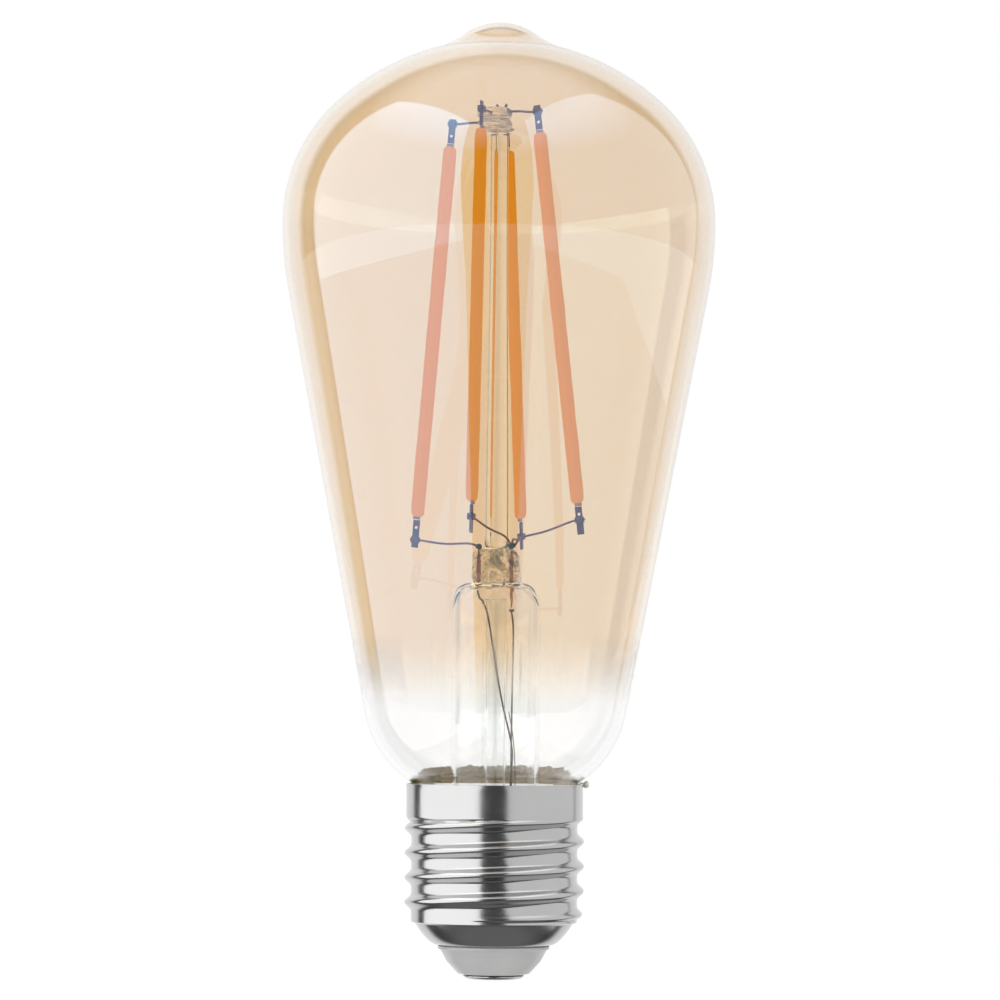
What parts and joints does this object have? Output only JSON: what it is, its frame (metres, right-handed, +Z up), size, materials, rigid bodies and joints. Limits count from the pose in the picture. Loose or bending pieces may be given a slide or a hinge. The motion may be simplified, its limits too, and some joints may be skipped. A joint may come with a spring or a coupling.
{
  "type": "smart light bulb",
  "caption": "Smart filament light bulb with a tapered amber glass envelope, LED filaments on a glass stem, and a threaded screw cap that holds the driver and wireless module.",
  "frame": {"origin": "centre of the flat end of the centre contact, the lowest point of the bulb", "axes": "+Z up the axis of the bulb, from the centre contact to the tip of the glass; -Y is the front and +X the right as seen from the front"},
  "size_m": [0.064, 0.064, 0.1412],
  "materials": {
    "amber_glass": "clear, thin amber coat on the upper part",
    "clear_glass": "clear",
    "phosphor": "matte silicone phosphor",
    "ceramic": "matte",
    "chip_blue": "satin",
    "terminal_steel": "dark satin",
    "lead_metal": "dark, slightly brown",
    "copper": "copper coloured",
    "nickel_plate": "polished nickel",
    "cement": "rough, olive brown",
    "insulator_grey": "satin grey",
    "solder": "dull solder",
    "board_green": "solder resist",
    "black_resin": "moulded",
    "liner_white": "moulded"
  },
  "bodies": {
    "root": {"glass_envelope": "amber_glass", "stem_flare": "clear_glass", "stem_press": "clear_glass", "exhaust_tube": "clear_glass", "support_rod": "clear_glass", "rod_button": "clear_glass", "screw_shell": "nickel_plate", "basing_cement": "cement", "cap_insulator": "insulator_grey", "centre_contact": "nickel_plate", "side_solder": "solder", "seal_wire_left": "copper", "seal_wire_right": "copper", "stem_lead_left": "lead_metal", "stem_lead_right": "lead_metal", "insulating_liner": "liner_white", "driver_board": "board_green", "smoothing_capacitor": "black_resin", "power_inductor": "copper", "fusible_resistor": "liner_white", "driver_chip": "black_resin", "bridge_rectifier": "black_resin", "wireless_module": "board_green", "module_shield": "nickel_plate", "contact_wire": "copper", "shell_wire": "lead_metal", "phosphor_coat_1": "phosphor", "substrate_strip_1": "ceramic", "led_chips_1": "chip_blue", "top_terminal_1": "terminal_steel", "bottom_terminal_1": "terminal_steel", "top_support_wire_1": "lead_metal", "bottom_lead_wire_1": "lead_metal", "phosphor_coat_2": "phosphor", "substrate_strip_2": "ceramic", "led_chips_2": "chip_blue", "top_terminal_2": "terminal_steel", "bottom_terminal_2": "terminal_steel", "top_support_wire_2": "lead_metal", "bottom_lead_wire_2": "lead_metal", "phosphor_coat_3": "phosphor", "substrate_strip_3": "ceramic", "led_chips_3": "chip_blue", "top_terminal_3": "terminal_steel", "bottom_terminal_3": "terminal_steel", "top_support_wire_3": "lead_metal", "bottom_lead_wire_3": "lead_metal", "phosphor_coat_4": "phosphor", "substrate_strip_4": "ceramic", "led_chips_4": "chip_blue", "top_terminal_4": "terminal_steel", "bottom_terminal_4": "terminal_steel", "top_support_wire_4": "lead_metal", "bottom_lead_wire_4": "lead_metal"}
  },
  "joints": []
}
